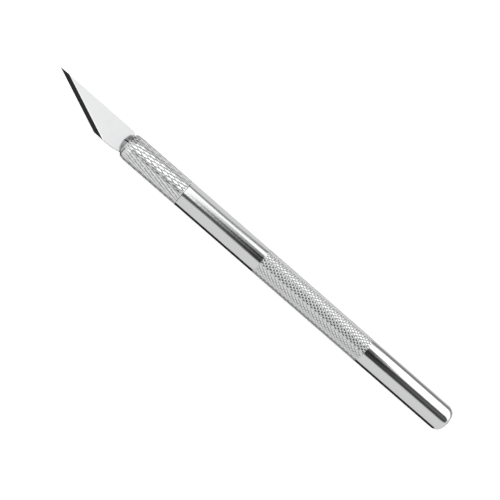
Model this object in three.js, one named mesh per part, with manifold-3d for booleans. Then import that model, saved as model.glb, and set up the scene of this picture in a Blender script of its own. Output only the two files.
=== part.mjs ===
// Hobby craft knife: a turned bar handle, a knurled chuck sleeve, a collet with four jaws and a pointed
// blade. Millimetres. The knife lies along X with its blade tip at -X and its butt at +X, the spine of the
// blade towards +Y and the flats of the blade facing up and down. The origin is under the middle of the
// knife, on the plane that it lies on.
import * as THREE from "three";
import { mergeVertices } from "three/addons/utils/BufferGeometryUtils.js";
import Module from "manifold-3d";

const wasm = await Module();
wasm.setup();

// Overall sizes
const BODY_DIAMETER = 8; // handle and sleeve alike
const HANDLE_LENGTH = 97.5; // from the seam to the butt face, without the spigot
const SLEEVE_LENGTH = 19.85;
const BLADE_LENGTH = 40;
const BLADE_REACH = 25.8; // blade tip in front of the collet's nose

// Handle
const BUTT_ROUND_LENGTH = 2.4; // rounding of the butt, measured along the bar
const BUTT_ROUND_DEPTH = 1.6; // and across it
const EDGE_BREAK = 0.12; // small chamfer where the handle and the sleeve meet
const SEAM_GAP = 0.1;
const SPIGOT_LENGTH = 1.6; // pilot that centres the back of the sleeve
const SPIGOT_CLEARANCE = 0.1;
const BORE_LEAD = 0.3; // plain mouth in front of the tapped thread
const TAP_OVERRUN = 0.8; // tapped thread behind the end of the collet's stem
const DRILL_OVERRUN = 1.8; // drilled hole behind the tapped thread
const DRILL_POINT_ANGLE = 118;

// Chuck sleeve
const SLEEVE_WALL = 0.8;
const LIP_WIDTH = 0.2; // flat rim round the mouth
const NOSE_ROUND_LENGTH = 2.1; // rounding of the sleeve's front, measured along the sleeve
const SEAT_LENGTH = 4.3; // conical seat behind the mouth
const SEAT_DEPTH = 0.18; // how far the small end of the seat stands in from the bore
const MOUTH_FLARE = 0.23; // how much wider the seat is at the mouth
const SEAT_BACK_LENGTH = 0.5; // slope from the small end of the seat to the bore

// Collet
const NOSE_REACH = 1.75; // domed nose in front of the sleeve's lip
const NOSE_FLAT_RADIUS = 0.5;
const CONE_CLEARANCE = 0.1; // between the cone head and its seat
const SHANK_GAP = 0.6; // between the shank and the sleeve's bore
const SHANK_SHOULDER = 0.5; // slope from the cone head to the shank
const NECK_GAP = 0.5; // the shank stops this far in front of the spigot
const CROSS_SLIT = 0.4;
const SLIT_CLEARANCE = 0.05; // on each side of the blade
const SLIT_RELIEF = 0.7; // slits behind the end of the tang

// Thread of the collet's stem in the handle
const THREAD_PITCH = 0.8;
const THREAD_DEPTH = 0.4;
const THREAD_TURNS = 9;
const THREAD_STEP = 0.1; // the crest stands in from the shank
const THREAD_CLEARANCE = 0.2; // radial, between stem and tapped hole
const THREAD_RUNOUT = 0.8;
const STEM_NECK = 1.4; // plain neck between the shank and the thread
const STEM_CHAMFER = 0.4;

// Blade
const BLADE_THICKNESS = 0.5;
const TANG_CLEARANCE = 0.12; // between the tang's edges and the small end of the seat
const SPINE_STEP = 1; // the spine stands this far above the tang
const BELLY_STEP = 0.7; // and the heel this far below it
const TIP_RISE = 0.08; // the spine climbs this much towards the tip
const HEEL_REACH = 7.3; // heel of the cutting edge in front of the nose
const BEVEL_WIDTH = 1.2;
const EDGE_LAND = 0.02; // thickness left at the cutting edge
const SHOULDER_LENGTH = 1.4; // slope from the tang up to the spine
const SHOULDER_START = 2.1; // where that slope begins, behind the nose
const BELLY_LENGTH = 6.1; // slope from the tang down to the belly
const BELLY_START = 3.2; // where that slope begins, behind the nose
const TANG_CORNER = 0.4;
const SLOT_LENGTH = 5.6;
const SLOT_WIDTH = 2.6;
const SLOT_FROM_END = 6.7; // middle of the slot from the end of the tang

// Smoothness of the round pieces
const BODY_SIDES = 32;
const COLLET_SIDES = 24;
const ARC_STEPS = 6;
const SLOT_ARC_STEPS = 8;
const ROWS_PER_PITCH = 6;

// Distances below which two points, two radii or a point and the axis count as one
const SAME_POINT = 1e-5;
const SAME_RADIUS = 1e-3;
const ON_AXIS = 1e-6;

// Radii worked out from the outside inwards
const bodyRadius = BODY_DIAMETER / 2;
const sleeveBore = bodyRadius - SLEEVE_WALL;
const seatRadius = sleeveBore - SEAT_DEPTH;
const mouthRadius = seatRadius + MOUTH_FLARE;
const headRadius = mouthRadius - CONE_CLEARANCE;
const headBackRadius = seatRadius - CONE_CLEARANCE;
const shankRadius = sleeveBore - SHANK_GAP;
const crestRadius = shankRadius - THREAD_STEP;
const rootRadius = crestRadius - THREAD_DEPTH;
const spigotRadius = sleeveBore - SPIGOT_CLEARANCE;
const tapCrestRadius = rootRadius + THREAD_CLEARANCE;
const tapRootRadius = crestRadius + THREAD_CLEARANCE;
const tangHalfWidth = seatRadius - TANG_CLEARANCE;

// Stations along the knife, measured back from the tip of the collet's nose
const lipStation = NOSE_REACH;
const seatEndStation = lipStation + SEAT_LENGTH;
const sleeveEndStation = lipStation + SLEEVE_LENGTH;
const seamStation = sleeveEndStation + SEAM_GAP;
const buttStation = seamStation + HANDLE_LENGTH;
const spigotStation = seamStation - SPIGOT_LENGTH;
const shankEndStation = spigotStation - NECK_GAP;
const threadStation = shankEndStation + STEM_NECK;
const threadEndStation = threadStation + THREAD_TURNS * THREAD_PITCH;
const tapStation = spigotStation + BORE_LEAD;
const tapEndStation = threadEndStation + STEM_CHAMFER + TAP_OVERRUN;
const drillEndStation = tapEndStation + DRILL_OVERRUN;
const tangEndStation = BLADE_LENGTH - BLADE_REACH;
const slitEndStation = tangEndStation + SLIT_RELIEF;

const metal = (color, roughness) => new THREE.MeshStandardMaterial({ color, roughness, metalness: 1 });
const brightAluminium = metal(0xd2d4d6, 0.24);
const knurledAluminium = metal(0xcdcfd1, 0.34);
const turnedSteel = metal(0xb9bbbd, 0.3);
const groundSteel = metal(0xe2e3e4, 0.38);

// The solid inside a closed geometry.
function solidOf(geometry) {
  const bare = geometry.clone();
  bare.deleteAttribute("normal");
  bare.deleteAttribute("uv");
  const merged = mergeVertices(bare, SAME_POINT);
  const corners = merged.index.array;
  const triVerts = [];
  for (let i = 0; i < corners.length; i += 3) {
    const [a, b, c] = corners.slice(i, i + 3);
    if (a !== b && b !== c && c !== a) triVerts.push(a, b, c);
  }
  const mesh = new wasm.Mesh({
    numProp: 3,
    vertProperties: new Float32Array(merged.attributes.position.array),
    triVerts: new Uint32Array(triVerts),
  });
  return new wasm.Manifold(mesh);
}

// A named mesh of a solid.
function meshOf(solid, name, material) {
  const { vertProperties, triVerts } = solid.getMesh();
  const geometry = new THREE.BufferGeometry();
  geometry.setAttribute("position", new THREE.BufferAttribute(vertProperties, 3));
  geometry.setIndex(new THREE.BufferAttribute(triVerts, 1));
  geometry.computeVertexNormals();
  const mesh = new THREE.Mesh(geometry, material);
  mesh.name = name;
  return mesh;
}

// Points (radius, station) of an elliptical rounding about a centre, between two angles in degrees.
// Zero degrees points outwards and ninety degrees points back along the knife.
function rounding(radius, station, across, along, fromAngle, toAngle) {
  const points = [];
  for (let i = 0; i <= ARC_STEPS; i++) {
    const angle = THREE.MathUtils.degToRad(THREE.MathUtils.lerp(fromAngle, toAngle, i / ARC_STEPS));
    points.push([radius + across * Math.cos(angle), station + along * Math.sin(angle)]);
  }
  return points;
}

// Rows of a plain cylinder close enough together to carry a thread.
function threadRows(radius, fromStation, toStation) {
  const count = Math.round(Math.abs(toStation - fromStation) / THREAD_PITCH * ROWS_PER_PITCH);
  const rows = [];
  for (let i = 0; i <= count; i++) {
    rows.push([radius, THREE.MathUtils.lerp(fromStation, toStation, i / count)]);
  }
  return rows;
}

// Height of the right-hand thread's crest, 0 to 1, at an angle round the axis and a station along it.
function threadWave(angle, station) {
  return (1 + Math.cos(2 * Math.PI * station / THREAD_PITCH - angle)) / 2;
}

// A turned piece on the knife's axis. Its flats, not its corners, stand at the profile's radii.
// The thread, if there is one, lifts the surface between two stations and runs out at the ends that fade.
function turned(profile, sides, thread) {
  const points = profile.map(([radius, station]) => new THREE.Vector2(radius, station));
  const geometry = new THREE.LatheGeometry(points, sides, Math.PI / sides);
  geometry.rotateZ(-Math.PI / 2);
  const position = geometry.attributes.position;
  const cornerScale = 1 / Math.cos(Math.PI / sides);
  for (let i = 0; i < position.count; i++) {
    const [station, y, z] = [position.getX(i), position.getY(i), position.getZ(i)];
    const radius = Math.hypot(y, z);
    if (radius < ON_AXIS) {
      position.setXYZ(i, station, 0, 0);
      continue;
    }
    const angle = Math.atan2(z, y);
    const threaded = thread && Math.abs(radius - thread.radius) < SAME_RADIUS;
    const lift = threaded ? thread.lift(angle, station) : 0;
    const scale = (radius + lift) * cornerScale / radius;
    position.setXYZ(i, station, y * scale, z * scale);
  }
  return solidOf(geometry);
}

// A box with its middle at a station of the axis, as a cutter.
function cutter(length, width, height, station) {
  const box = new THREE.BoxGeometry(length, width, height);
  box.translate(station, 0, 0);
  return solidOf(box);
}

function makeHandle() {
  const drillPoint = tapCrestRadius / Math.tan(THREE.MathUtils.degToRad(DRILL_POINT_ANGLE / 2));
  const profile = [
    [0, drillEndStation + drillPoint],
    [tapCrestRadius, drillEndStation],
    ...threadRows(tapCrestRadius, tapEndStation, tapStation),
    [tapRootRadius, tapStation - EDGE_BREAK],
    [tapRootRadius, spigotStation],
    [spigotRadius - EDGE_BREAK, spigotStation],
    [spigotRadius, spigotStation + EDGE_BREAK],
    [spigotRadius, seamStation],
    [bodyRadius - EDGE_BREAK, seamStation],
    [bodyRadius, seamStation + EDGE_BREAK],
    ...rounding(
      bodyRadius - BUTT_ROUND_DEPTH,
      buttStation - BUTT_ROUND_LENGTH,
      BUTT_ROUND_DEPTH,
      BUTT_ROUND_LENGTH,
      0,
      90,
    ),
    [0, buttStation],
  ];
  const lift = (angle, station) => {
    const fade = THREE.MathUtils.clamp((tapEndStation - station) / THREAD_RUNOUT, 0, 1);
    return THREAD_DEPTH * threadWave(angle, station) * fade;
  };
  const solid = turned(profile, BODY_SIDES, { radius: tapCrestRadius, lift });
  return meshOf(solid, "handle", brightAluminium);
}

function makeSleeve() {
  const lipRadius = mouthRadius + LIP_WIDTH;
  const profile = [
    [mouthRadius, lipStation],
    [seatRadius, seatEndStation],
    [sleeveBore, seatEndStation + SEAT_BACK_LENGTH],
    [sleeveBore, sleeveEndStation],
    [bodyRadius - EDGE_BREAK, sleeveEndStation],
    [bodyRadius, sleeveEndStation - EDGE_BREAK],
    ...rounding(
      lipRadius,
      lipStation + NOSE_ROUND_LENGTH,
      bodyRadius - lipRadius,
      NOSE_ROUND_LENGTH,
      0,
      -90,
    ),
    [mouthRadius, lipStation],
  ];
  return meshOf(turned(profile.reverse(), BODY_SIDES), "chuck_sleeve", knurledAluminium);
}

function makeCollet() {
  const profile = [
    [0, threadEndStation + STEM_CHAMFER],
    [rootRadius - STEM_CHAMFER, threadEndStation + STEM_CHAMFER],
    ...threadRows(rootRadius, threadEndStation, threadStation),
    [rootRadius, shankEndStation],
    [shankRadius, shankEndStation],
    [shankRadius, seatEndStation + SHANK_SHOULDER],
    [headBackRadius, seatEndStation],
    ...rounding(NOSE_FLAT_RADIUS, lipStation, headRadius - NOSE_FLAT_RADIUS, lipStation, 0, -90),
    [0, 0],
  ];
  const lift = (angle, station) => {
    const toEnd = Math.min(station - threadStation, threadEndStation - station);
    const fade = THREE.MathUtils.clamp(toEnd / THREAD_RUNOUT, 0, 1);
    return THREAD_DEPTH * threadWave(angle, station) * fade;
  };
  const solid = turned(profile.reverse(), COLLET_SIDES, { radius: rootRadius, lift });
  const reach = 2 * bodyRadius;
  const slitLength = slitEndStation + reach;
  const slitMiddle = (slitEndStation - reach) / 2;
  const bladeSlitWidth = BLADE_THICKNESS + 2 * SLIT_CLEARANCE;
  const bladeSlit = cutter(slitLength, reach, bladeSlitWidth, slitMiddle);
  const crossSlit = cutter(slitLength, CROSS_SLIT, reach, slitMiddle);
  return meshOf(solid.subtract(bladeSlit).subtract(crossSlit), "collet", turnedSteel);
}

// The outline of the blade, seen from above, with the oval slot in its tang.
function bladeOutline() {
  const spineY = tangHalfWidth + SPINE_STEP;
  const bellyY = -tangHalfWidth - BELLY_STEP;
  const shoulderEnd = SHOULDER_START - SHOULDER_LENGTH;
  const shoulderMiddle = (SHOULDER_START + shoulderEnd) / 2;
  const bellyEnd = BELLY_START - BELLY_LENGTH;
  const bellyMiddle = (BELLY_START + bellyEnd) / 2;
  const outline = new THREE.Shape();
  outline.moveTo(-BLADE_REACH, spineY + TIP_RISE);
  outline.lineTo(-HEEL_REACH, bellyY);
  outline.lineTo(bellyEnd, bellyY);
  outline.bezierCurveTo(bellyMiddle, bellyY, bellyMiddle, -tangHalfWidth, BELLY_START, -tangHalfWidth);
  outline.lineTo(tangEndStation - TANG_CORNER, -tangHalfWidth);
  outline.lineTo(tangEndStation, -tangHalfWidth + TANG_CORNER);
  outline.lineTo(tangEndStation, tangHalfWidth - TANG_CORNER);
  outline.lineTo(tangEndStation - TANG_CORNER, tangHalfWidth);
  outline.lineTo(SHOULDER_START, tangHalfWidth);
  outline.bezierCurveTo(shoulderMiddle, tangHalfWidth, shoulderMiddle, spineY, shoulderEnd, spineY);

  const slotMiddle = tangEndStation - SLOT_FROM_END;
  const slotHalf = (SLOT_LENGTH - SLOT_WIDTH) / 2;
  const slot = new THREE.Path();
  slot.absarc(slotMiddle + slotHalf, 0, SLOT_WIDTH / 2, -Math.PI / 2, Math.PI / 2, false);
  slot.absarc(slotMiddle - slotHalf, 0, SLOT_WIDTH / 2, Math.PI / 2, 3 * Math.PI / 2, false);
  outline.holes.push(slot);
  return outline;
}

// What is ground away on the upper side of the cutting edge: a wedge that runs along the edge.
function bevelWedge() {
  const tip = new THREE.Vector2(-BLADE_REACH, tangHalfWidth + SPINE_STEP + TIP_RISE);
  const heel = new THREE.Vector2(-HEEL_REACH, -tangHalfWidth - BELLY_STEP);
  const edge = heel.clone().sub(tip);
  const margin = BEVEL_WIDTH * 4;
  const slope = (BLADE_THICKNESS - EDGE_LAND) / 2 / BEVEL_WIDTH;
  const height = inward => EDGE_LAND / 2 + slope * inward;
  const section = new THREE.Shape([
    new THREE.Vector2(-BEVEL_WIDTH / 2, height(-BEVEL_WIDTH / 2)),
    new THREE.Vector2(BEVEL_WIDTH * 2, height(BEVEL_WIDTH * 2)),
    new THREE.Vector2(-BEVEL_WIDTH / 2, height(BEVEL_WIDTH * 2)),
  ]);
  const depth = edge.length() + 2 * margin;
  const wedge = new THREE.ExtrudeGeometry(section, { depth, bevelEnabled: false });
  const along = new THREE.Vector3(edge.x, edge.y, 0).normalize();
  const up = new THREE.Vector3(0, 0, 1);
  const inward = new THREE.Vector3().crossVectors(up, along);
  wedge.translate(0, 0, -margin);
  wedge.applyMatrix4(new THREE.Matrix4().makeBasis(inward, up, along));
  wedge.translate(tip.x, tip.y, 0);
  return solidOf(wedge);
}

function makeBlade() {
  const plate = new THREE.ExtrudeGeometry(bladeOutline(), {
    depth: BLADE_THICKNESS,
    bevelEnabled: false,
    curveSegments: SLOT_ARC_STEPS,
  });
  plate.translate(0, 0, -BLADE_THICKNESS / 2);
  const wedge = bevelWedge();
  const ground = solidOf(plate).subtract(wedge).subtract(wedge.mirror([0, 0, 1]));
  return meshOf(ground, "blade", groundSteel);
}

const knife = new THREE.Group();
knife.add(makeHandle(), makeSleeve(), makeCollet(), makeBlade());
knife.position.set((BLADE_REACH - buttStation) / 2, 0, bodyRadius);

export default knife;
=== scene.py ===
"""Hobby craft knife: a turned aluminium handle, a knurled chuck sleeve, a split collet and a pointed blade.

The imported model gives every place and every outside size. This script makes the visible surfaces: the
rolled knurls, the turned ends, the jaws, the thread and the ground blade, with their finishes, and lights
them in a small light tent.
"""

import logging
import math
from dataclasses import dataclass, field
from enum import Enum
from typing import Callable

import bmesh
import bpy
import numpy as np
from mathutils import Matrix, Vector


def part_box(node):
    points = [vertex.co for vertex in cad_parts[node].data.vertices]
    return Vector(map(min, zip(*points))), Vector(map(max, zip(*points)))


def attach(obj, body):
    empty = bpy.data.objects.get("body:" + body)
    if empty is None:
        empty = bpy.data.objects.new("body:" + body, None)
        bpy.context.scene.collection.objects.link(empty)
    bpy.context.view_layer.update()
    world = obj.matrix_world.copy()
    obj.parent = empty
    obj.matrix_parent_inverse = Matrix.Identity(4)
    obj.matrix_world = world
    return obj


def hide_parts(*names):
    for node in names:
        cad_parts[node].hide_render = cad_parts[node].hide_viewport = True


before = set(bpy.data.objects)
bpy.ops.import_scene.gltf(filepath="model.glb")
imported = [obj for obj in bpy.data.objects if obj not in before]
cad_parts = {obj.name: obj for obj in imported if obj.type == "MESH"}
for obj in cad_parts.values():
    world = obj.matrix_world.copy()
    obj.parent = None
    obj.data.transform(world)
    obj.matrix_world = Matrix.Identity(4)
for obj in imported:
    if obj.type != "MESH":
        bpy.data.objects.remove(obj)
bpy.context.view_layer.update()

MM = 0.001
MICRON = 0.000001
HAIR = 1e-9
NOISE_LOW, NOISE_HIGH = 0.25, 0.75
LOG = logging.getLogger("craft_knife")

Pair = tuple[float, float]
Rows = list[Pair]
Colour = tuple[float, float, float]
Carve = Callable[[np.ndarray, np.ndarray, np.ndarray], tuple[np.ndarray, np.ndarray]]


# ---------------------------------------------------------------------------------------------------------
# Finishes
# ---------------------------------------------------------------------------------------------------------


class NodeBench:
    """Lays out the shader nodes of one procedural material."""

    def __init__(self, name: str) -> None:
        """Starts an empty material.

        Args:
            name: name of the material.
        """
        self.material = bpy.data.materials.new(name)
        self.material.use_nodes = True
        self.tree = self.material.node_tree
        self.tree.nodes.clear()
        self.output = self.tree.nodes.new("ShaderNodeOutputMaterial")

    def node(self, kind: str, settings: dict | None = None, **sockets: object) -> bpy.types.Node:
        """Adds a node and fills in its sockets.

        Args:
            kind: the node's type, without its Shader prefix.
            settings: properties of the node.
            sockets: values or output sockets, by input name with underscores for spaces.

        Returns:
            The new node.
        """
        made = self.tree.nodes.new("ShaderNode" + kind)
        for key, value in (settings or {}).items():
            setattr(made, key, value)
        for key, value in sockets.items():
            socket = made.inputs[key.replace("_", " ")]
            if isinstance(value, bpy.types.NodeSocket):
                self.tree.links.new(value, socket)
            else:
                socket.default_value = value
        return made

    def stretched(self, stretch: tuple[float, float, float]) -> bpy.types.NodeSocket:
        """Gives object coordinates that are stretched along each axis.

        Args:
            stretch: factor along X, Y and Z.

        Returns:
            The stretched coordinates.
        """
        place = self.node("TexCoord").outputs["Object"]
        return self.node("Mapping", Vector=place, Scale=stretch).outputs["Vector"]

    def noise(self, stretch: tuple[float, float, float], detail: float = 2.0) -> bpy.types.NodeSocket:
        """Gives a noise from 0 to 1 with a unit cell of one metre over the stretch.

        Args:
            stretch: cells a metre along X, Y and Z.
            detail: octaves of the noise.

        Returns:
            The noise's value.
        """
        where = self.stretched(stretch)
        return self.node("TexNoise", Vector=where, Scale=1.0, Detail=detail).outputs[0]

    def between(self, value: bpy.types.NodeSocket, low: float, high: float) -> bpy.types.NodeSocket:
        """Maps the middle of a noise on to a range.

        Args:
            value: the noise.
            low: result at the noise's low end.
            high: result at its high end.

        Returns:
            The mapped value.
        """
        spread = {"From_Min": NOISE_LOW, "From_Max": NOISE_HIGH, "To_Min": low, "To_Max": high}
        return self.node("MapRange", Value=value, **spread).outputs[0]

    def tinted(self, factor: bpy.types.NodeSocket, dark: Colour, light: Colour) -> bpy.types.NodeSocket:
        """Mixes two colours.

        Args:
            factor: 0 for the dark colour and 1 for the light one.
            dark: the dark colour.
            light: the light colour.

        Returns:
            The mixed colour.
        """
        ramp = self.node("ValToRGB", Fac=factor)
        ramp.color_ramp.elements[0].color = (*dark, 1.0)
        ramp.color_ramp.elements[1].color = (*light, 1.0)
        return ramp.outputs["Color"]

    def finish(self, surface: bpy.types.Node) -> bpy.types.Material:
        """Connects the surface shader and hands the material over.

        Args:
            surface: the last shader node.

        Returns:
            The material.
        """
        self.tree.links.new(surface.outputs[0], self.output.inputs["Surface"])
        return self.material


def scaled(colour: Colour, factor: float) -> Colour:
    """Returns a colour made darker or lighter by a factor."""
    return tuple(min(1.0, part * factor) for part in colour)


@dataclass(frozen=True)
class TurnedMetal:
    """Metal off the lathe: fine rings round the axis, and faint drawn streaks along it."""

    name: str
    colour: Colour
    roughness: float
    ring_height: float = 0.4 * MICRON
    rings_per_metre: float = 9000.0
    ripple_height: float = 6.0 * MICRON
    ripples_per_metre: float = 2200.0
    streaks_across: float = 900.0
    streaks_along: float = 12.0
    streak_shade: float = 0.95
    unevenness: float = 0.04

    def rings(self, bench: NodeBench) -> bpy.types.NodeSocket:
        """Gives the height of the tool's rings, from the station along the axis and the distance from it.

        Args:
            bench: where the material's nodes are laid out.

        Returns:
            The height, from 0 to 1.
        """
        place = bench.node("TexCoord").outputs["Object"]
        to_axis = (0.0, 0.0, -LAYOUT.axis_height)
        centred = bench.node("Mapping", Vector=place, Location=to_axis).outputs["Vector"]
        across = bench.node("Mapping", Vector=centred, Scale=(0.0, 1.0, 1.0)).outputs["Vector"]
        radius = bench.node("VectorMath", {"operation": "LENGTH"}, Vector=across).outputs["Value"]
        along = bench.node("SeparateXYZ", Vector=place).outputs["X"]
        travel = bench.node("Math", {"operation": "SUBTRACT"})
        bench.tree.links.new(along, travel.inputs[0])
        bench.tree.links.new(radius, travel.inputs[1])
        line = {"noise_dimensions": "1D"}
        made = bench.node("TexNoise", line, W=travel.outputs[0], Scale=self.rings_per_metre, Detail=2.0)
        return made.outputs[0]

    def make(self) -> bpy.types.Material:
        """Builds the material.

        Returns:
            The material.
        """
        bench = NodeBench(self.name)
        rings = self.rings(bench)
        streaks = bench.noise((self.streaks_along, self.streaks_across, self.streaks_across), detail=3.0)
        low, high = self.roughness - self.unevenness, self.roughness + self.unevenness
        ripples = bench.noise((self.ripples_per_metre,) * 3, detail=3.0)
        uneven = bench.node("Bump", Height=ripples, Strength=1.0, Distance=self.ripple_height).outputs[0]
        bump = bench.node("Bump", Height=rings, Strength=1.0, Distance=self.ring_height, Normal=uneven)
        shader = bench.node(
            "BsdfPrincipled",
            Base_Color=bench.tinted(streaks, scaled(self.colour, self.streak_shade), self.colour),
            Roughness=bench.between(streaks, low, high),
            Normal=bump.outputs[0],
            Metallic=1.0,
        )
        return bench.finish(shader)


@dataclass(frozen=True)
class KnurledMetal:
    """Rolled knurling: bright crests, and rougher valleys whose colour is darkened as painted shade."""

    name: str
    colour: Colour
    crest_roughness: float
    valley_roughness: float
    valley_painted_shade: float
    grains_per_metre: float = 2600.0
    grain_height: float = 4.0 * MICRON

    def make(self) -> bpy.types.Material:
        """Builds the material, which reads the depth stored on the mesh.

        Returns:
            The material.
        """
        bench = NodeBench(self.name)
        depth = bench.node("Attribute", {"attribute_name": TurnedPiece.DEPTH}).outputs["Fac"]
        grain = bench.noise((self.grains_per_metre,) * 3, detail=4.0)
        ends = {"To_Min": self.crest_roughness, "To_Max": self.valley_roughness}
        rough = bench.node("MapRange", Value=depth, **ends)
        bump = bench.node("Bump", Height=grain, Strength=1.0, Distance=self.grain_height)
        # The colour darkens with the stored depth: painted shade in the grooves.
        shader = bench.node(
            "BsdfPrincipled",
            Base_Color=bench.tinted(depth, self.colour, scaled(self.colour, self.valley_painted_shade)),
            Roughness=rough.outputs[0],
            Normal=bump.outputs[0],
            Metallic=1.0,
        )
        return bench.finish(shader)


@dataclass(frozen=True)
class GroundSteel:
    """Ground steel: fine scratches in one direction, and a slightly cloudy sheen."""

    name: str
    colour: Colour
    roughness: float
    scratch_turn: float = 0.0
    scratches_across: float = 7000.0
    scratches_along: float = 250.0
    scratch_height: float = 0.6 * MICRON
    clouds_per_metre: float = 240.0
    cloudiness: float = 0.03
    cloud_shade: float = 0.9

    def make(self) -> bpy.types.Material:
        """Builds the material.

        Returns:
            The material.
        """
        bench = NodeBench(self.name)
        place = bench.node("TexCoord").outputs["Object"]
        turn = (0.0, 0.0, self.scratch_turn)
        turned = bench.node("Mapping", Vector=place, Rotation=turn).outputs["Vector"]
        stretch = (self.scratches_along, self.scratches_across, self.scratches_across)
        laid = bench.node("Mapping", Vector=turned, Scale=stretch).outputs["Vector"]
        scratches = bench.node("TexNoise", Vector=laid, Scale=1.0, Detail=3.0).outputs[0]
        clouds = bench.noise((self.clouds_per_metre,) * 3, detail=5.0)
        sheen = bench.between(clouds, 0.0, 1.0)
        low, high = self.roughness - self.cloudiness, self.roughness + self.cloudiness
        bump = bench.node("Bump", Height=scratches, Strength=1.0, Distance=self.scratch_height)
        shader = bench.node(
            "BsdfPrincipled",
            Base_Color=bench.tinted(sheen, scaled(self.colour, self.cloud_shade), self.colour),
            Roughness=bench.between(clouds, low, high),
            Normal=bump.outputs[0],
            Metallic=1.0,
        )
        return bench.finish(shader)


class Finish(Enum):
    """The finishes on this knife."""

    BRIGHT_BAR = TurnedMetal("bright_turned_aluminium", (0.90, 0.905, 0.91), 0.13)
    MACHINED_BORE = TurnedMetal("machined_bore", (0.5, 0.502, 0.505), 0.32)
    # The last number of each knurl darkens its valleys as painted shade.
    GRIP_KNURL = KnurledMetal("grip_knurling", (0.90, 0.905, 0.91), 0.15, 0.28, 0.65)
    SLEEVE_KNURL = KnurledMetal("sleeve_knurling", (0.94, 0.945, 0.95), 0.13, 0.22, 0.6)
    COLLET = TurnedMetal("collet_metal", (0.56, 0.562, 0.565), 0.17)
    # Dull cut faces in the seam's gap and the collet's slits; their near-black colour is painted shade.
    AS_CUT = TurnedMetal("dull_cut_metal_painted_shade", (0.16, 0.16, 0.162), 0.45)
    BLADE_FLAT = GroundSteel("blade_flat_steel", (0.93, 0.935, 0.94), 0.34)
    # The ground bevel is a near-black copy of the blade's steel: a painted dark reflection.
    BLADE_EDGE = GroundSteel("ground_edge_steel_painted_dark", (0.035, 0.035, 0.037), 0.38, scratch_turn=1.18)
    # The sheared rim is a near-black copy of the blade's steel: painted shade.
    BLADE_RIM = GroundSteel("sheared_rim_steel_painted_dark", (0.06, 0.06, 0.062), 0.45)
    BLADE_POLISH = GroundSteel("honed_line_steel", (0.97, 0.975, 0.98), 0.16)

    def material(self) -> bpy.types.Material:
        """Returns the finish's material, built once."""
        return bpy.data.materials.get(self.value.name) or self.value.make()


# ---------------------------------------------------------------------------------------------------------
# Turned pieces
# ---------------------------------------------------------------------------------------------------------


@dataclass(frozen=True)
class Knurl:
    """A diamond knurl: two families of V grooves that wind opposite ways round a turned piece.

    teeth is the number of grooves round the piece in each family, and crest the share of the space between
    two grooves that stays flat. The mesh has samples points to each groove, both ways.
    """

    start: float
    end: float
    teeth: int
    pitch: float
    depth: float
    crest: float
    samples: int
    runout: float
    start_runout: float

    @property
    def columns(self) -> int:
        """Number of points round the piece."""
        return self.teeth * self.samples

    @property
    def ring_count(self) -> int:
        """Number of stretches between the rings of the knurl."""
        return round((self.end - self.start) / self.pitch * self.samples)

    def stations(self) -> list[float]:
        """Returns the stations of the rings across the knurl."""
        length = self.end - self.start
        return [self.start + length * i / self.ring_count for i in range(self.ring_count + 1)]

    def groove(self, turns: np.ndarray) -> np.ndarray:
        """Returns the depth of one family of grooves, 0 on the crests and 1 at the bottom.

        Args:
            turns: place across the grooves, one groove to each whole number.

        Returns:
            The depth at each place.
        """
        away = np.abs(turns - np.round(turns))
        return 1.0 - np.clip(away / (0.5 * (1.0 - self.crest)), 0.0, 1.0)

    def cut(self, angle: np.ndarray, station: np.ndarray) -> np.ndarray:
        """Returns how deep the knurl is, from 0 to 1.

        Args:
            angle: angle round the axis.
            station: place along the axis.

        Returns:
            The depth at each point, in shares of the full depth.
        """
        round_part = self.teeth * angle / math.tau
        along_part = (station - self.start) / (self.end - self.start) * self.ring_count / self.samples
        fade_in = np.clip((station - self.start) / self.start_runout, 0.0, 1.0)
        fade_out = np.clip((self.end - station) / self.runout, 0.0, 1.0)
        both = np.maximum(self.groove(round_part + along_part), self.groove(round_part - along_part))
        inside = (station >= self.start - HAIR) & (station <= self.end + HAIR)
        return both * np.minimum(fade_in, fade_out) * inside


@dataclass(frozen=True)
class Thread:
    """A right-hand thread with a rounded form, whose crest crosses +Y at the origin's station.

    fades_in tells whether the thread starts shallow, as on a screw, or at full depth, as in a tapped hole.
    """

    origin: float
    start: float
    end: float
    pitch: float
    depth: float
    runout: float
    fades_in: bool
    samples: int = 8

    def stations(self) -> list[float]:
        """Returns the stations of the rings along the thread."""
        count = round((self.end - self.start) / self.pitch * self.samples)
        return [self.start + (self.end - self.start) * i / count for i in range(count + 1)]

    def lift(self, angle: np.ndarray, station: np.ndarray) -> np.ndarray:
        """Returns how far the thread stands out from its root.

        Args:
            angle: angle round the axis, from +Y towards +Z.
            station: place along the axis.

        Returns:
            The height at each point.
        """
        wave = (1.0 + np.cos(math.tau * (station - self.origin) / self.pitch - angle)) / 2.0
        to_end = self.end - station
        if self.fades_in:
            to_end = np.minimum(to_end, station - self.start)
        return self.depth * wave * np.clip(to_end / self.runout, 0.0, 1.0)


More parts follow.
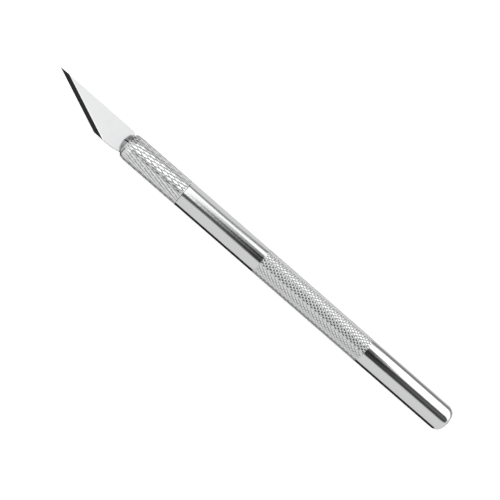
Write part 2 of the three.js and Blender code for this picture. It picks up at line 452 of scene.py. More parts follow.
@dataclass
class TurnedPiece:
    """A mesh of rings round the knife's axis, with a finish for each stretch of its profile."""

    DEPTH = "cut_depth"

    name: str
    axis_height: float
    columns: int
    rings: list[tuple[float, float]] = field(default_factory=list)
    finishes: list[Finish] = field(default_factory=list)
    closed: bool = False

    def run(self, rows: Rows, finish: Finish) -> "TurnedPiece":
        """Adds rings to the profile.

        Args:
            rows: station and radius of each ring.
            finish: finish of the stretch that leads to each of these rings.

        Returns:
            This piece, so that calls can follow each other.
        """
        for row in rows:
            if self.rings and math.dist(row, self.rings[-1]) < HAIR:
                continue
            self.rings.append(row)
            self.finishes.append(finish)
        return self

    def make(self, carve: Carve, sharp: float = 24.0) -> bpy.types.Object:
        """Builds the mesh object.

        Args:
            carve: gives the new radius and the stored depth from radius, angle and station.
            sharp: edges that turn more than this, in degrees, are shaded sharp.

        Returns:
            The object.
        """
        angle = math.tau * np.arange(self.columns) / self.columns
        points, depths, faces, slots = [], [], [], []
        ring_ids: list[list[int]] = []
        for station, radius in self.rings:
            first = len(points)
            if radius < HAIR:
                points.append((station, 0.0, self.axis_height))
                depths.append(0.0)
                ring_ids.append([first] * self.columns)
                continue
            stations = np.full(self.columns, station)
            radii, depth = carve(np.full(self.columns, radius), angle, stations)
            across = radii * np.cos(angle)
            up = radii * np.sin(angle) + self.axis_height
            points.extend(zip(stations.tolist(), across.tolist(), up.tolist()))
            depths.extend(depth.tolist())
            ring_ids.append(list(range(first, first + self.columns)))
        materials = list(dict.fromkeys(self.finishes))
        pairs = list(zip(range(len(self.rings) - 1), range(1, len(self.rings))))
        if self.closed:
            pairs.append((len(self.rings) - 1, 0))
        for low, high in pairs:
            slot = materials.index(self.finishes[high])
            for i in range(self.columns):
                j = (i + 1) % self.columns
                corners = (ring_ids[low][i], ring_ids[low][j], ring_ids[high][j], ring_ids[high][i])
                made = self.split(corners, depths)
                faces.extend(made)
                slots.extend([slot] * len(made))
        mesh = bpy.data.meshes.new(self.name)
        mesh.from_pydata(points, [], faces)
        stored = mesh.attributes.new(self.DEPTH, "FLOAT", "POINT")
        stored.data.foreach_set("value", depths)
        for finish in materials:
            mesh.materials.append(finish.material())
        mesh.polygons.foreach_set("material_index", slots)
        return dressed_object(self.name, mesh, sharp)

    @staticmethod
    def split(corners: tuple[int, int, int, int], depths: list[float]) -> list[tuple[int, ...]]:
        """Splits a face along a groove, leaves a plain one whole and drops doubled corners.

        Args:
            corners: the four corners in order.
            depths: stored depth of every point.

        Returns:
            One or two faces.
        """
        kept = tuple(dict.fromkeys(corners))
        if len(kept) < 4:
            return [kept] if len(kept) == 3 else []
        a, b, c, d = kept
        one, other = depths[a] + depths[c], depths[b] + depths[d]
        if one == other:
            return [kept]
        return [(a, b, c), (a, c, d)] if one > other else [(a, b, d), (b, c, d)]


def dressed_object(name: str, mesh: bpy.types.Mesh, sharp: float) -> bpy.types.Object:
    """Turns a mesh into an object with its faces outwards and its sharp edges marked.

    Args:
        name: name of the piece.
        mesh: its mesh.
        sharp: edges that turn more than this, in degrees, are shaded sharp.

    Returns:
        The object, linked to the scene.
    """
    work = bmesh.new()
    work.from_mesh(mesh)
    bmesh.ops.recalc_face_normals(work, faces=work.faces)
    work.to_mesh(mesh)
    work.free()
    mesh.polygons.foreach_set("use_smooth", [True] * len(mesh.polygons))
    mesh.set_sharp_from_angle(angle=math.radians(sharp))
    made = bpy.data.objects.new(name, mesh)
    bpy.context.scene.collection.objects.link(made)
    return made


def rounding(
    station: float, radius: float, along: float, across: float, start: float, end: float, steps: int = 12
) -> Rows:
    """Returns rings along an elliptical rounding.

    Args:
        station: station of the rounding's centre.
        radius: radius of its centre.
        along: half length along the axis.
        across: half length across it.
        start: first angle in degrees; 0 points outwards and 90 points back along the knife.
        end: last angle in degrees.
        steps: number of stretches.

    Returns:
        Station and radius of each ring.
    """
    angles = [math.radians(start + (end - start) * i / steps) for i in range(steps + 1)]
    return [(station + along * math.sin(a), radius + across * math.cos(a)) for a in angles]


def stand_for(piece: bpy.types.Object, node: str, body: str) -> bpy.types.Object:
    """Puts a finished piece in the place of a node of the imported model.

    Args:
        piece: the finished piece.
        node: the node that it replaces.
        body: the body that it moves with.

    Returns:
        The piece.
    """
    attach(piece, body)
    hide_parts(node)
    return piece


@dataclass(frozen=True)
class Layout:
    """Places along the knife and across it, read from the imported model."""

    blade_tip: float
    nose: float
    lip: float
    sleeve_end: float
    spigot: float
    stem_end: float
    butt: float
    tang_end: float
    radius: float
    axis_height: float
    seam_gap: float = 0.1 * MM

    @classmethod
    def from_frame(cls) -> "Layout":
        """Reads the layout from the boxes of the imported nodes.

        Returns:
            The layout.
        """
        handle_low, handle_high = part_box("handle")
        sleeve_low, sleeve_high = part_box("chuck_sleeve")
        collet_low, collet_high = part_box("collet")
        blade_low, blade_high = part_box("blade")
        return cls(
            blade_tip=blade_low[0],
            nose=collet_low[0],
            lip=sleeve_low[0],
            sleeve_end=sleeve_high[0],
            spigot=handle_low[0],
            stem_end=collet_high[0],
            butt=handle_high[0],
            tang_end=blade_high[0],
            radius=(handle_high[1] - handle_low[1]) / 2.0,
            axis_height=(handle_high[2] + handle_low[2]) / 2.0,
        )

    @property
    def seam(self) -> float:
        """Station of the handle's front shoulder."""
        return self.sleeve_end + self.seam_gap


LAYOUT = Layout.from_frame()


@dataclass
class Handle:
    """The bar: rounded butt, plain stretches, knurled grip, pilot spigot and tapped hole."""

    edge_break: float = 0.05 * MM
    butt_round_length: float = 2.4 * MM
    butt_round_depth: float = 1.6 * MM
    grip_start: float = 27.9 * MM
    grip_end: float = 66.6 * MM
    spigot_radius: float = 3.1 * MM
    tap_root_radius: float = 2.7 * MM
    tap_crest_radius: float = 2.3 * MM
    tap_lead: float = 0.3 * MM
    tap_length: float = 9.1 * MM
    drill_overrun: float = 1.8 * MM
    drill_half_angle: float = 59.0
    thread_pitch: float = 0.8 * MM
    thread_depth: float = 0.4 * MM
    thread_runout: float = 0.8 * MM
    knurl_teeth: int = 28
    knurl_pitch: float = 1.46 * MM
    knurl_depth: float = 0.06 * MM
    knurl_crest: float = 0.75
    knurl_samples: int = 8
    knurl_runout: float = 0.7 * MM

    def knurl(self) -> Knurl:
        """Lays out the grip's knurl.

        Returns:
            The knurl, whose grooves run out at both ends.
        """
        return Knurl(
            start=LAYOUT.seam + self.grip_start,
            end=LAYOUT.seam + self.grip_end,
            teeth=self.knurl_teeth,
            pitch=self.knurl_pitch,
            depth=self.knurl_depth,
            crest=self.knurl_crest,
            samples=self.knurl_samples,
            runout=self.knurl_runout,
            start_runout=self.knurl_runout,
        )

    def thread(self) -> Thread:
        """Lays out the tapped thread.

        Returns:
            The thread, at full depth from its mouth.
        """
        start = LAYOUT.spigot + self.tap_lead
        return Thread(
            origin=LAYOUT.nose,
            start=start,
            end=start + self.tap_length,
            pitch=self.thread_pitch,
            depth=self.thread_depth,
            runout=self.thread_runout,
            fades_in=False,
        )

    def build(self) -> bpy.types.Object:
        """Builds the bar and puts it in its node's place.

        Returns:
            The finished bar.
        """
        knurl, thread, radius = self.knurl(), self.thread(), LAYOUT.radius
        seam, butt = LAYOUT.seam, LAYOUT.butt
        drill_end = thread.end + self.drill_overrun
        drill_point = drill_end + self.tap_crest_radius / math.tan(math.radians(self.drill_half_angle))
        piece = TurnedPiece("handle_bar", LAYOUT.axis_height, knurl.columns)
        piece.run([(drill_point, 0.0), (drill_end, self.tap_crest_radius)], Finish.MACHINED_BORE)
        piece.run([(x, self.tap_crest_radius) for x in reversed(thread.stations())], Finish.MACHINED_BORE)
        piece.run([(thread.start - self.edge_break, self.tap_root_radius)], Finish.MACHINED_BORE)
        # The spigot and the front shoulder take the dull cut finish, painted dark as the shade in the
        # seam's gap.
        piece.run(
            [
                (LAYOUT.spigot, self.tap_root_radius),
                (LAYOUT.spigot, self.spigot_radius - self.edge_break),
                (LAYOUT.spigot + self.edge_break, self.spigot_radius),
                (seam, self.spigot_radius),
                (seam, radius - self.edge_break),
            ],
            Finish.AS_CUT,
        )
        piece.run([(seam + self.edge_break, radius), (knurl.start, radius)], Finish.BRIGHT_BAR)
        piece.run([(x, radius) for x in knurl.stations()], Finish.GRIP_KNURL)
        length, depth = self.butt_round_length, self.butt_round_depth
        butt_rows = rounding(butt - length, radius - depth, length, depth, 0.0, 90.0)
        piece.run(butt_rows + [(butt, 0.0)], Finish.BRIGHT_BAR)

        def carve(
            radii: np.ndarray, angle: np.ndarray, station: np.ndarray
        ) -> tuple[np.ndarray, np.ndarray]:
            """Cuts the knurl outside and the thread inside.

            Args:
                radii: radius of each point before cutting.
                angle: angle round the axis.
                station: place along the axis.

            Returns:
                The radii and the depth of the knurl.
            """
            if radii[0] < self.spigot_radius - self.edge_break:
                in_thread = (station > thread.start - HAIR) & (abs(radii - self.tap_crest_radius) < HAIR)
                lift = thread.lift(angle, station) * in_thread
                return radii + lift, np.zeros_like(radii)
            cut = knurl.cut(angle, station)
            return radii - knurl.depth * cut, cut

        return stand_for(piece.make(carve), "handle", "handle_body")


@dataclass
class ChuckSleeve:
    """The knurled nose sleeve: a tube with a rounded front and a conical seat inside its mouth."""

    edge_break: float = 0.015 * MM
    bore: float = 3.2 * MM
    seat_radius: float = 3.02 * MM
    mouth_radius: float = 3.25 * MM
    lip_radius: float = 3.45 * MM
    seat_length: float = 4.3 * MM
    seat_back: float = 0.5 * MM
    nose_round: float = 2.1 * MM
    plain_end: float = 0.03 * MM
    knurl_teeth: int = 28
    knurl_pitch: float = 3.7 * MM
    knurl_depth: float = 0.08 * MM
    knurl_crest: float = 0.72
    knurl_samples: int = 16
    knurl_start_runout: float = 0.6 * MM
    knurl_runout: float = 0.1 * MM

    def knurl(self) -> Knurl:
        """Lays out the sleeve's long, narrow diamonds.

        Returns:
            The knurl, from the lip to the seam.
        """
        return Knurl(
            start=LAYOUT.lip,
            end=LAYOUT.sleeve_end - self.plain_end,
            teeth=self.knurl_teeth,
            pitch=self.knurl_pitch,
            depth=self.knurl_depth,
            crest=self.knurl_crest,
            samples=self.knurl_samples,
            runout=self.knurl_runout,
            start_runout=self.knurl_start_runout,
        )

    def outer_radius(self, station: float) -> float:
        """Returns the outside radius before knurling.

        Args:
            station: place along the axis.

        Returns:
            The radius there.
        """
        into = (LAYOUT.lip + self.nose_round - station) / self.nose_round
        rise = LAYOUT.radius - self.lip_radius
        return self.lip_radius + rise * math.sqrt(max(0.0, 1.0 - max(0.0, into) ** 2))

    def build(self) -> bpy.types.Object:
        """Builds the sleeve and puts it in its node's place.

        Returns:
            The finished sleeve.
        """
        knurl, lip, end = self.knurl(), LAYOUT.lip, LAYOUT.sleeve_end
        seat_end = lip + self.seat_length
        piece = TurnedPiece("knurled_chuck_sleeve", LAYOUT.axis_height, knurl.columns, closed=True)
        piece.run([(x, self.outer_radius(x)) for x in knurl.stations()], Finish.SLEEVE_KNURL)
        edge = [(end - self.edge_break, LAYOUT.radius), (end, LAYOUT.radius - self.edge_break)]
        piece.run(edge, Finish.BRIGHT_BAR)
        # The rear end face is painted dark as the shade in the seam's gap.
        piece.run([(end, self.bore)], Finish.AS_CUT)
        seat_back = (seat_end + self.seat_back, self.bore)
        piece.run([seat_back, (seat_end, self.seat_radius), (lip, self.mouth_radius)], Finish.MACHINED_BORE)

        def carve(
            radii: np.ndarray, angle: np.ndarray, station: np.ndarray
        ) -> tuple[np.ndarray, np.ndarray]:
            """Cuts the knurl on the outside only.

            Args:
                radii: radius of each point before cutting.
                angle: angle round the axis.
                station: place along the axis.

            Returns:
                The radii and the depth of the knurl.
            """
            outside = radii > self.lip_radius - HAIR
            depth = knurl.cut(angle, station) * outside
            return radii - knurl.depth * depth, depth

        return stand_for(piece.make(carve), "chuck_sleeve", "sleeve_body")


@dataclass
class Collet:
    """The split chuck: domed nose, cone head, shank and threaded stem, slit into four jaws."""

    columns: int = 96
    nose_flat: float = 0.5 * MM
    head_radius: float = 3.15 * MM
    head_back_radius: float = 2.92 * MM
    head_length: float = 4.3 * MM
    shank_radius: float = 2.6 * MM
    shank_slope: float = 0.5 * MM
    shank_end_before_spigot: float = 0.5 * MM
    neck: float = 1.4 * MM
    root_radius: float = 2.1 * MM
    thread_pitch: float = 0.8 * MM
    thread_depth: float = 0.4 * MM
    thread_runout: float = 0.8 * MM
    stem_chamfer: float = 0.4 * MM
    blade_slit: float = 0.6 * MM
    cross_slit: float = 0.4 * MM
    slit_relief: float = 0.7 * MM

    def thread(self) -> Thread:
        """Lays out the stem's thread.

        Returns:
            The thread, which runs out at both ends.
        """
        return Thread(
            origin=LAYOUT.nose,
            start=LAYOUT.spigot - self.shank_end_before_spigot + self.neck,
            end=LAYOUT.stem_end - self.stem_chamfer,
            pitch=self.thread_pitch,
            depth=self.thread_depth,
            runout=self.thread_runout,
            fades_in=True,
        )

    def build(self) -> bpy.types.Object:
        """Builds the collet, slits it and puts it in its node's place.

        Returns:
            The finished collet.
        """
        thread, nose, lip = self.thread(), LAYOUT.nose, LAYOUT.lip
        shank_end = LAYOUT.spigot - self.shank_end_before_spigot
        head_end = lip + self.head_length
        rise = self.head_radius - self.nose_flat
        dome = rounding(lip, self.nose_flat, lip - nose, rise, -90.0, 0.0, steps=16)
        piece = TurnedPiece("split_collet", LAYOUT.axis_height, self.columns)
        piece.run([(nose, 0.0)] + dome, Finish.COLLET)
        piece.run(
            [
                (head_end, self.head_back_radius),
                (head_end + self.shank_slope, self.shank_radius),
                (shank_end, self.shank_radius),
                (shank_end, self.root_radius),
            ],
            Finish.COLLET,
        )
        piece.run([(x, self.root_radius) for x in thread.stations()], Finish.COLLET)
        stem_tip = self.root_radius - self.stem_chamfer
        piece.run([(LAYOUT.stem_end, stem_tip), (LAYOUT.stem_end, 0.0)], Finish.COLLET)

        def carve(
            radii: np.ndarray, angle: np.ndarray, station: np.ndarray
        ) -> tuple[np.ndarray, np.ndarray]:
            """Raises the thread on the stem.

            Args:
                radii: radius of each point before threading.
                angle: angle round the axis.
                station: place along the axis.

            Returns:
                The radii and an empty depth, as the collet has no knurl.
            """
            on_stem = (station > thread.start - HAIR) & (radii > self.root_radius - HAIR)
            return radii + thread.lift(angle, station) * on_stem, np.zeros_like(radii)

        collet = piece.make(carve)
        reach = 4.0 * LAYOUT.radius
        slit_end = LAYOUT.tang_end + self.slit_relief
        for width, height in ((reach, self.blade_slit), (self.cross_slit, reach)):
            cut_away(collet, nose - reach, slit_end, width, height, LAYOUT.axis_height)
        return stand_for(collet, "collet", "collet_body")


def cut_away(
    piece: bpy.types.Object, front: float, back: float, width: float, height: float, middle_height: float
) -> None:
    """Cuts a straight slit through a piece, from beyond its front end back to a station.

    Args:
        piece: the piece to cut.
        front: station in front of the piece.
        back: station where the slit ends.
        width: size of the slit across Y.
        height: size of the slit along Z.
        middle_height: height of the slit's middle.
    """
    work = bmesh.new()
    length = back - front
    place = Matrix.Translation(((front + back) / 2.0, 0.0, middle_height))
    bmesh.ops.create_cube(work, size=1.0, matrix=place @ Matrix.Diagonal((length, width, height, 1.0)))
    mesh = bpy.data.meshes.new("slit_cutter")
    work.to_mesh(mesh)
    work.free()
    # The slit's walls take the dull cut finish, painted dark as the shade inside the slit.
    mesh.materials.append(Finish.AS_CUT.material())
    tool = bpy.data.objects.new("slit_cutter", mesh)
    bpy.context.scene.collection.objects.link(tool)
    cut = piece.modifiers.new("slit", "BOOLEAN")
    cut.object = tool
    cut.operation = "DIFFERENCE"
    cut.solver = "EXACT"
    cut.material_mode = "TRANSFER"
    bpy.context.view_layer.update()
    ready = piece.evaluated_get(bpy.context.evaluated_depsgraph_get())
    made = bpy.data.meshes.new_from_object(ready)
    piece.modifiers.clear()
    old = piece.data
    piece.data = made
    bpy.data.meshes.remove(old)
    bpy.data.objects.remove(tool)
    bpy.data.meshes.remove(mesh)


@dataclass
class Blade:
    """The blade: straight spine, slanting ground edge, belly, shoulder and a tang with an oval slot."""

    FINISHES = (Finish.BLADE_FLAT, Finish.BLADE_EDGE, Finish.BLADE_RIM, Finish.BLADE_POLISH)

    thickness: float = 0.5 * MM
    tang_half: float = 2.9 * MM
    spine_step: float = 1.0 * MM
    belly_step: float = 0.7 * MM
    tip_rise: float = 0.08 * MM
    heel_reach: float = 7.3 * MM
    bevel_width: float = 1.2 * MM
    edge_land: float = 0.02 * MM
    polish_width: float = 0.22 * MM
    polish_depth: float = 0.006 * MM
    shoulder_start: float = 2.1 * MM
    shoulder_length: float = 1.4 * MM
    belly_start: float = 3.2 * MM
    belly_length: float = 6.1 * MM
    tang_corner: float = 0.4 * MM
    slot_length: float = 5.6 * MM
    slot_width: float = 2.6 * MM
    slot_from_end: float = 6.7 * MM
    curve_steps: int = 14
    sharp_angle: float = 0.5
    flat_facing: float = 0.5

    @property
    def tip(self) -> Vector:
        """The blade's tip, in the plane of the blade."""
        return Vector((LAYOUT.blade_tip, self.tang_half + self.spine_step + self.tip_rise, 0.0))

    @property
    def heel(self) -> Vector:
        """The back end of the cutting edge."""
        return Vector((LAYOUT.nose - self.heel_reach, -self.tang_half - self.belly_step, 0.0))

    def slope(self, start: float, end: float, low: float, high: float) -> list[Vector]:
        """Returns a smooth step between two heights.

        Args:
            start: station where the step starts.
            end: station where it ends.
            low: height at the start.
            high: height at the end.

        Returns:
            Points along the step.
        """
        middle = (start + end) / 2.0
        points = []
        for i in range(self.curve_steps + 1):
            t = i / self.curve_steps
            pull = 3.0 * t * (1.0 - t)
            station = (1.0 - t) ** 3 * start + pull * middle + t**3 * end
            points.append(Vector((station, low + (high - low) * t * t * (3.0 - 2.0 * t), 0.0)))
        return points

    def outline(self) -> list[Vector]:
        """Lays out the blade's outline.

        Returns:
            The corners, anticlockwise from the tip.
        """
        nose, end, half, corner = LAYOUT.nose, LAYOUT.tang_end, self.tang_half, self.tang_corner
        belly_back, shoulder_back = nose + self.belly_start, nose + self.shoulder_start
        belly = self.slope(belly_back - self.belly_length, belly_back, self.heel.y, -half)
        shoulder_front = shoulder_back - self.shoulder_length
        shoulder = self.slope(shoulder_back, shoulder_front, half, half + self.spine_step)
        tang = [
            Vector((end - corner, -half, 0.0)),
            Vector((end, -half + corner, 0.0)),
            Vector((end, half - corner, 0.0)),
            Vector((end - corner, half, 0.0)),
        ]
        return [self.tip, self.heel, *belly, *tang, *shoulder]

    def slot(self) -> list[Vector]:
        """Lays out the oval slot in the tang.

        Returns:
            The points round the slot.
        """
        radius = self.slot_width / 2.0
        middle = LAYOUT.tang_end - self.slot_from_end
        away = self.slot_length / 2.0 - radius
        points = []
        for side in (1.0, -1.0):
            for i in range(self.curve_steps + 1):
                angle = math.pi * (i / self.curve_steps - 0.5)
                along = away + radius * math.cos(angle)
                points.append(Vector((middle + side * along, side * radius * math.sin(angle), 0.0)))
        return points

    def grind(
        self, work: bmesh.types.BMesh, width: float, drop: float, from_width: float, finish: Finish
    ) -> None:
        """Grinds a flat along the cutting edge, on both sides of the blade.

        Args:
            work: the blade's mesh, centred on its own plane.
            width: distance from the cutting edge where the ground flat starts, on the blade's side.
            drop: height lost from there to the second distance.
            from_width: the second distance from the cutting edge.
            finish: finish of the ground flat.
        """
        along = (self.heel - self.tip).normalized()
        inward = Vector((0.0, 0.0, 1.0)).cross(along)
        for side in (1.0, -1.0):
            start = self.tip + inward * width + Vector((0.0, 0.0, side * self.thickness / 2.0))
            fall = inward * (from_width - width) - Vector((0.0, 0.0, side * drop))
            normal = fall.cross(along).normalized()
            normal *= math.copysign(1.0, normal.z * side)
            everything = [*work.verts, *work.edges, *work.faces]
            bmesh.ops.bisect_plane(work, geom=everything, plane_co=start, plane_no=normal, clear_outer=True)
            rim = [edge for edge in work.edges if edge.is_boundary]
            for face in bmesh.ops.holes_fill(work, edges=rim, sides=0)["faces"]:
                face.material_index = self.FINISHES.index(finish)

    def build(self) -> bpy.types.Object:
        """Builds the blade and puts it in its node's place.

        Returns:
            The finished blade.
        """
        work = bmesh.new()
        edges = []
        for loop in (self.outline(), self.slot()):
            corners = [work.verts.new(point) for point in loop]
            edges += [work.edges.new((a, b)) for a, b in zip(corners, corners[1:] + corners[:1])]
        plate = bmesh.ops.triangle_fill(work, edges=edges, use_beauty=True, use_dissolve=False)["geom"]
        faces = [item for item in plate if isinstance(item, bmesh.types.BMFace)]
        lifted = bmesh.ops.extrude_face_region(work, geom=faces)["geom"]
        corners = [item for item in lifted if isinstance(item, bmesh.types.BMVert)]
        bmesh.ops.translate(work, verts=corners, vec=(0.0, 0.0, self.thickness))
        bmesh.ops.translate(work, verts=work.verts, vec=(0.0, 0.0, -self.thickness / 2.0))
        bmesh.ops.recalc_face_normals(work, faces=work.faces)
        work.normal_update()
        # Faces that don't face up or down take the rim finish, painted dark as shade.
        for face in work.faces:
            finish = Finish.BLADE_FLAT if abs(face.normal.z) > self.flat_facing else Finish.BLADE_RIM
            face.material_index = self.FINISHES.index(finish)
        land_drop = (self.thickness - self.edge_land) / 2.0
        polish_start = self.bevel_width + self.polish_width
        # The ground bevel is painted nearly black as a dark reflection.
        self.grind(work, self.bevel_width, land_drop, 0.0, Finish.BLADE_EDGE)
        self.grind(work, polish_start, self.polish_depth, self.bevel_width, Finish.BLADE_POLISH)
        bmesh.ops.translate(work, verts=work.verts, vec=(0.0, 0.0, LAYOUT.axis_height))
        mesh = bpy.data.meshes.new("pointed_blade")
        work.to_mesh(mesh)
        work.free()
        for finish in self.FINISHES:
            mesh.materials.append(finish.material())
        piece = dressed_object("pointed_blade", mesh, self.sharp_angle)
        return stand_for(piece, "blade", "blade_body")


# ---------------------------------------------------------------------------------------------------------
# Studio
# ---------------------------------------------------------------------------------------------------------


def ramp(value: float, low: float, high: float) -> float:
    """Returns 0 below a range, 1 above it, and a smooth rise between."""
    share = min(1.0, max(0.0, (value - low) / (high - low)))
    return share * share * (3.0 - 2.0 * share)


@dataclass(frozen=True)
class Card:
    """A card or lamp that covers a band of the tent, as a pair of edges at its front and rear ends.

    Angles are in degrees round the knife from straight up, positive towards the blade's spine side, and
    each fade is the angle over which an edge blends into what is behind it.
    """

    glow: Pair
    low: Pair
    high: Pair
    low_fade: Pair = (6.0, 6.0)
    high_fade: Pair = (6.0, 6.0)
    start: float = -2.0
    end: float = 2.0
    end_fade: float = 0.05

    def over(self, behind: float, angle: float, station: float, along: float) -> float:
        """Lays the card over what is behind it.

        Args:
            behind: brightness behind the card.
            angle: angle round the knife.
            station: place along the knife.
            along: share of the way from the tent's front measure to its rear one.

        Returns:
            The brightness seen.
        """
        low, high, low_fade, high_fade, glow = (
            pair[0] + (pair[1] - pair[0]) * along
            for pair in (self.low, self.high, self.low_fade, self.high_fade, self.glow)
        )
        cover = ramp(angle, low - low_fade, low) * (1.0 - ramp(angle, high, high + high_fade))
        cover *= ramp(station, self.start - self.end_fade, self.start)
        cover *= 1.0 - ramp(station, self.end, self.end + self.end_fade)
        return behind + (glow - behind) * cover


@dataclass
class Studio:
    """A light tent round the knife, a pale floor, and a camera looking down at the knife."""

    tent_radius: float = 0.75
    tent_front: float = -3.0
    tent_rear: float = 3.1
    tent_bays: int = 240
    tent_step: float = 1.0
    front_measure: float = 0.03
    rear_measure: float = 0.22
    cloth: float = 0.68
    black_flag: Card = Card(
        glow=(0.10, 0.05),
        low=(-26.0, -26.0),
        high=(4.0, 12.0),
        low_fade=(10.0, 10.0),
        high_fade=(40.0, 12.0),
        start=-0.03,
        end_fade=0.02,
    )
    narrow_flag: Card = Card(
        glow=(0.02, 0.02),
        low=(-35.0, -35.0),
        high=(-17.0, -17.0),
        low_fade=(5.0, 5.0),
        high_fade=(5.0, 5.0),
        start=-0.09,
        end=-0.03,
        end_fade=0.02,
    )
    front_lamp: Card = Card(glow=(1.7, 1.7), low=(-5.0, -5.0), high=(70.0, 70.0), start=-0.1, end=-0.034)
    softbox: Card = Card(
        glow=(1.15, 1.35),
        low=(40.0, 22.0),
        high=(49.0, 80.5),
        low_fade=(28.0, 6.0),
        high_fade=(5.0, 6.0),
    )
    waist_flag: Card = Card(
        glow=(0.3, 0.3),
        low=(18.0, 18.0),
        high=(28.0, 28.0),
        low_fade=(10.0, 10.0),
        high_fade=(18.0, 18.0),
        start=0.06,
        end=0.15,
        end_fade=0.05,
    )
    grey_flag: Card = Card(
        glow=(0.22, 0.22),
        low=(61.0, 88.0),
        high=(72.0, 112.0),
        low_fade=(5.0, 6.0),
        high_fade=(6.0, 14.0),
    )
    flag_sheen: Card = Card(
        glow=(0.15, 0.12),
        low=(-8.0, -8.0),
        high=(2.0, 2.0),
        start=0.24,
        end_fade=0.02,
    )
    contact_shade: Card = Card(
        glow=(0.02, 0.02),
        low=(-180.0, -180.0),
        high=(-128.0, -128.0),
        end=0.36,
        end_fade=0.1,
    )
    far_shade: Card = Card(glow=(0.05, 0.05), low=(165.0, 165.0), high=(190.0, 190.0))
    grip_flag: Card = Card(
        glow=(0.02, 0.02),
        low=(-30.0, -30.0),
        high=(27.0, 27.0),
        low_fade=(8.0, 8.0),
        high_fade=(12.0, 12.0),
        start=0.09,
        end=0.19,
        end_fade=0.03,
    )
    blade_lamp: Card = Card(
        glow=(0.98, 0.98),
        low=(-50.0, -50.0),
        high=(25.0, 25.0),
        start=-0.7,
        end=-0.12,
        end_fade=0.03,
    )
    mouth_flag: Card = Card(glow=(0.1, 0.1), low=(-180.0, -180.0), high=(180.0, 180.0), end=-0.62)
    nose_flag: Card = Card(glow=(0.12, 0.12), low=(36.0, 36.0), high=(100.0, 100.0), end=-0.14)
    floor_half_size: float = 3.0
    floor_colour: Colour = (0.9, 0.9, 0.9)
    floor_glow: float = 0.68
    sky: float = 0.7
    camera_distance: float = 0.31978
    lens: float = 83.5
    look_at: tuple[float, float, float] = (-0.00087, 0.0002, 0.004)
    belly_tilt: float = 11.06
    front_tilt: float = 4.93
    frame_turn: float = -41.07

    def glow(self, angle: float, station: float) -> float:
        """Returns the brightness of the tent.

        Args:
            angle: angle in degrees from straight up towards the spine side.
            station: place along the knife.

        Returns:
            The brightness there.
        """
        along = (station - self.front_measure) / (self.rear_measure - self.front_measure)
        along = min(1.0, max(0.0, along))
        seen = self.cloth
        for card in self.cards():
            seen = card.over(seen, angle, station, along)
        return seen

    def cards(self) -> tuple[Card, ...]:
        """Lists the cards in the order in which they overlap.

        Returns:
            The cards, from the back one to the front one.
        """
        return (
            self.black_flag,
            self.flag_sheen,
            self.front_lamp,
            self.narrow_flag,
            self.softbox,
            self.waist_flag,
            self.grip_flag,
            self.grey_flag,
            self.contact_shade,
            self.far_shade,
            self.mouth_flag,
            self.nose_flag,
            self.blade_lamp,
        )

    def build_tent(self) -> bpy.types.Object:
        """Builds the tent, which lights the knife and shows in it, but not to the camera.

        Returns:
            The tent, with its front end closed and its rear end open.
        """
        turns = round(360.0 / self.tent_step)
        points, glows, faces = [], [], [tuple(range(turns))]
        for bay in range(self.tent_bays + 1):
            station = self.tent_front + (self.tent_rear - self.tent_front) * bay / self.tent_bays
            for turn in range(turns):
                angle = turn * self.tent_step - 180.0
                across = self.tent_radius * math.sin(math.radians(angle))
                height = self.tent_radius * math.cos(math.radians(angle))
                points.append((station, across, height))
                glows.append(self.glow(angle, station))
                if bay:
                    after = (turn + 1) % turns
                    row, last = bay * turns, (bay - 1) * turns
                    faces.append((last + turn, last + after, row + after, row + turn))
        mesh = bpy.data.meshes.new("light_tent")
        mesh.from_pydata(points, [], faces)
        mesh.attributes.new("glow", "FLOAT", "POINT").data.foreach_set("value", glows)
        bench = NodeBench("tent_cloth")
        strength = bench.node("Attribute", {"attribute_name": "glow"}).outputs["Fac"]
        mesh.materials.append(bench.finish(bench.node("Emission", Strength=strength)))
        tent = bpy.data.objects.new("light_tent", mesh)
        tent.visible_camera = False
        return self.add_to_stage(tent)

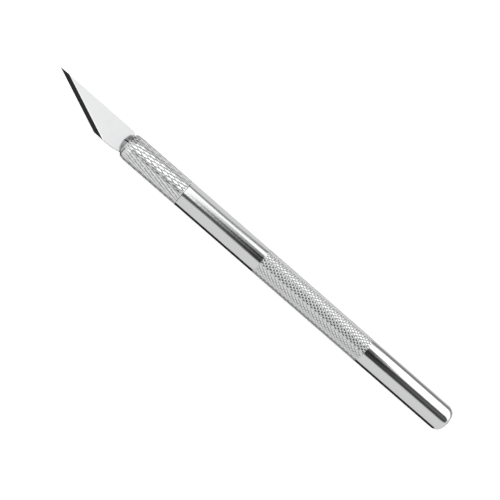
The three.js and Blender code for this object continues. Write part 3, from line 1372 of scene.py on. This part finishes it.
    def build_floor(self) -> bpy.types.Object:
        """Builds the pale floor, which the bright metal doesn't show.

        Returns:
            The floor.
        """
        half = self.floor_half_size
        corners = [(-half, -half, 0.0), (half, -half, 0.0), (half, half, 0.0), (-half, half, 0.0)]
        mesh = bpy.data.meshes.new("floor")
        mesh.from_pydata(corners, [], [(0, 1, 2, 3)])
        bench = NodeBench("floor_paper")
        shader = bench.node(
            "BsdfPrincipled",
            Base_Color=(*self.floor_colour, 1.0),
            Roughness=0.9,
            Emission_Color=(1.0, 1.0, 1.0, 1.0),
            Emission_Strength=self.floor_glow,
        )
        mesh.materials.append(bench.finish(shader))
        floor = bpy.data.objects.new("floor", mesh)
        floor.visible_glossy = False
        return self.add_to_stage(floor)

    @staticmethod
    def add_to_stage(thing: bpy.types.Object) -> bpy.types.Object:
        """Links an object to the scene.

        Args:
            thing: the object.

        Returns:
            The object.
        """
        bpy.context.scene.collection.objects.link(thing)
        return thing

    def build_world(self) -> None:
        """Gives what lies outside the tent an even light."""
        world = bpy.data.worlds.new("even_light")
        world.use_nodes = True
        background = world.node_tree.nodes["Background"]
        background.inputs["Color"].default_value = (1.0, 1.0, 1.0, 1.0)
        background.inputs["Strength"].default_value = self.sky
        scene = bpy.context.scene
        scene.world = world
        scene.view_settings.view_transform = "Standard"

    def build_camera(self) -> bpy.types.Object:
        """Places the camera above the knife, a little towards its belly side and its front.

        Returns:
            The camera.
        """
        data = bpy.data.cameras.new("camera")
        data.lens = self.lens
        data.sensor_width = 36.0
        data.clip_start = 0.01
        data.clip_end = 20.0
        camera = bpy.data.objects.new("camera", data)
        bpy.context.scene.collection.objects.link(camera)
        belly, front = math.radians(self.belly_tilt), math.radians(self.front_tilt)
        back = Vector((-math.tan(front), -math.tan(belly), 1.0)).normalized()
        knife = Vector((1.0, 0.0, 0.0))
        along = (knife - back * knife.dot(back)).normalized()
        right = Matrix.Rotation(-math.radians(self.frame_turn), 3, back) @ along
        up = back.cross(right)
        turn = Matrix((right, up, back)).transposed().to_4x4()
        place = Vector(self.look_at) + back * self.camera_distance
        camera.matrix_world = Matrix.Translation(place) @ turn
        bpy.context.scene.camera = camera
        return camera

    def build(self) -> None:
        """Builds the stage, the light and the camera."""
        self.build_camera()
        self.build_world()
        self.build_floor()
        self.build_tent()


def main() -> None:
    """Builds the studio and each piece of the knife."""
    logging.basicConfig(level=logging.INFO, format="%(message)s")
    Studio().build()
    for maker in (Handle(), ChuckSleeve(), Collet(), Blade()):
        made = maker.build()
        LOG.info("%s: %d faces", made.name, len(made.data.polygons))


if __name__ == "__main__":
    main()
